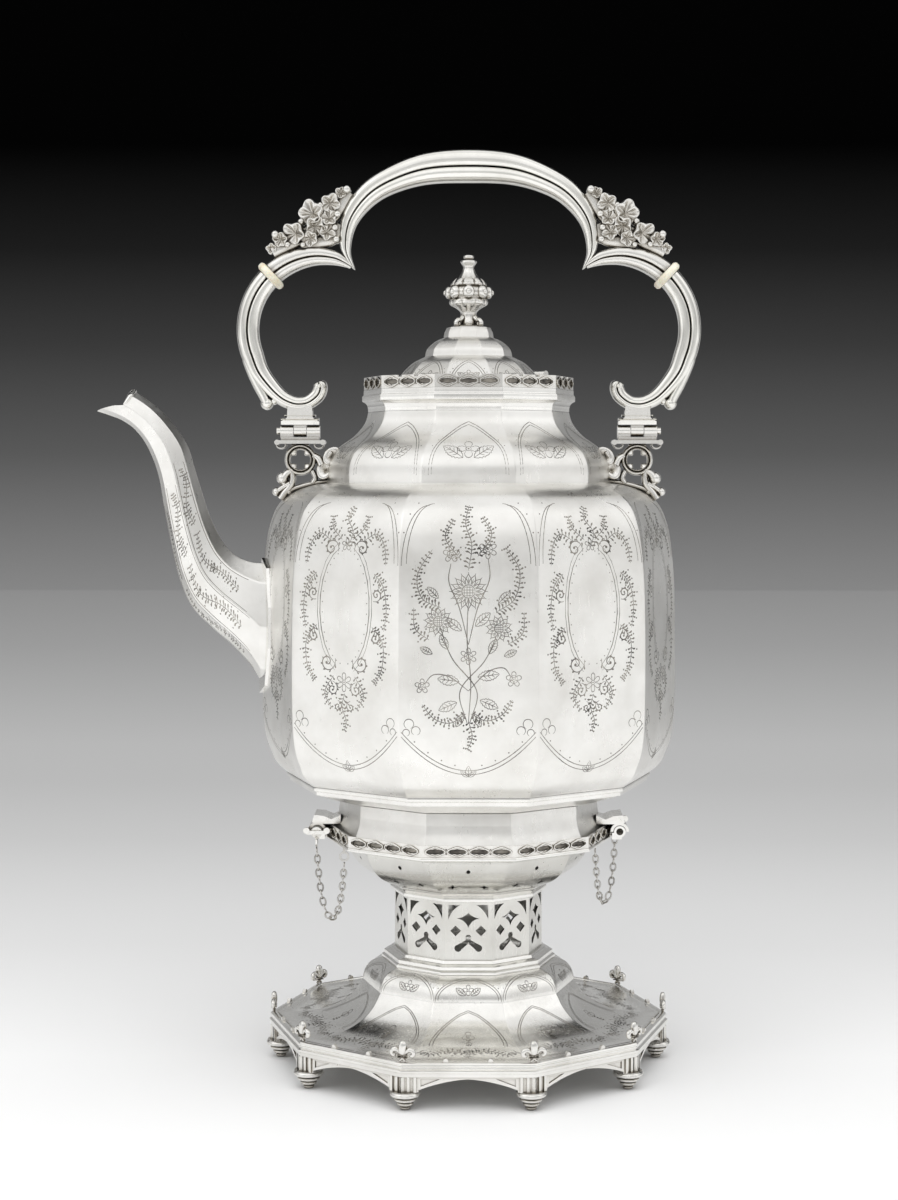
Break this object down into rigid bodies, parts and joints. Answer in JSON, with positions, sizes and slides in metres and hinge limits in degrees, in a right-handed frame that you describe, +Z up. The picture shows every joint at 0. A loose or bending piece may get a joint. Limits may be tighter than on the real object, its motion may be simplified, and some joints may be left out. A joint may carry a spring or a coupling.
{
  "type": "spirit kettle on stand",
  "caption": "Ten-sided silver hot-water kettle with hinged lid, bent spout and swinging trefoil handle, pinned to a pierced stand with a spirit lamp.",
  "frame": {"origin": "on the upright axis of kettle and stand, at the surface the feet stand on", "axes": "+Z up, +X towards the arris opposite the spout (the spout points to -X), -Y towards the front panel"},
  "size_m": [0.2845, 0.1864, 0.4309],
  "materials": {
    "silver": "polished sterling silver with engraving",
    "wick": "woven cotton",
    "ivory": "polished ivory or bone"
  },
  "bodies": {
    "stand": {"foot_dome": "silver", "tray_rim": "silver", "apron_arcade": "silver", "feet": "silver", "fleurs": "silver", "rim_beads": "silver", "waist_moulding_lower": "silver", "pierced_waist": "silver", "waist_moulding_upper": "silver", "stand_bowl": "silver", "gallery_moulding": "silver", "stand_gallery": "silver", "stand_tube_left": "silver", "stand_tube_right": "silver", "chain_rings": "silver", "lamp_seat": "silver", "lamp_font": "silver", "lamp_cap": "silver", "lamp_wick": "wick"},
    "kettle": {"kettle_shell": "silver", "kettle_base_moulding": "silver", "kettle_bottom": "silver", "kettle_foot": "silver", "neck_collar": "silver", "rim_gallery": "silver", "rim_seat": "silver", "spout": "silver", "spout_flange": "silver", "spout_lip": "silver", "lug_left": "silver", "lug_right": "silver", "hinge_lower_left": "silver", "hinge_lower_right": "silver", "hinge_pin_left": "silver", "hinge_pin_right": "silver", "foot_arm_left": "silver", "foot_arm_right": "silver", "lid_hinge_leaf": "silver", "lid_hinge_pin": "silver"},
    "lid": {"lid_shell": "silver", "lid_bezel": "silver", "finial": "silver", "finial_nut": "silver", "lid_knuckle": "silver"},
    "handle": {"handle_bow": "silver", "handle_arm_left": "silver", "handle_arm_right": "silver", "insulator_left": "ivory", "insulator_right": "ivory", "insulator_pins": "silver", "leaf_mount_left": "silver", "leaf_mount_right": "silver", "hinge_upper_left": "silver", "hinge_upper_right": "silver"},
    "left_pin": {"pin_left": "silver", "chain_left": "silver"},
    "right_pin": {"pin_right": "silver", "chain_right": "silver"}
  },
  "joints": [
    {"name": "kettle_tilt", "type": "hinge", "parent": "stand", "child": "kettle", "pos_m": [-0.0716, 0, 0.1104], "axis": [0, -1, 0], "range_deg": [0, 50]},
    {"name": "handle_swing", "type": "hinge", "parent": "kettle", "child": "handle", "pos_m": [0.0794, 0, 0.2995], "axis": [1, 0, 0], "range_deg": [-80, 80]},
    {"name": "lid_hinge", "type": "hinge", "parent": "kettle", "child": "lid", "pos_m": [0.02915, 0.04013, 0.3272], "axis": [-0.809, 0.5878, 0], "range_deg": [0, 72]},
    {"name": "left_pin_slide", "type": "slide", "parent": "stand", "child": "left_pin", "axis": [0, -1, 0], "range_m": [0, 0.0165], "deforming": ["chain_left"]},
    {"name": "right_pin_slide", "type": "slide", "parent": "stand", "child": "right_pin", "axis": [0, 1, 0], "range_m": [-0.012, 0.004], "deforming": ["chain_right"]}
  ]
}
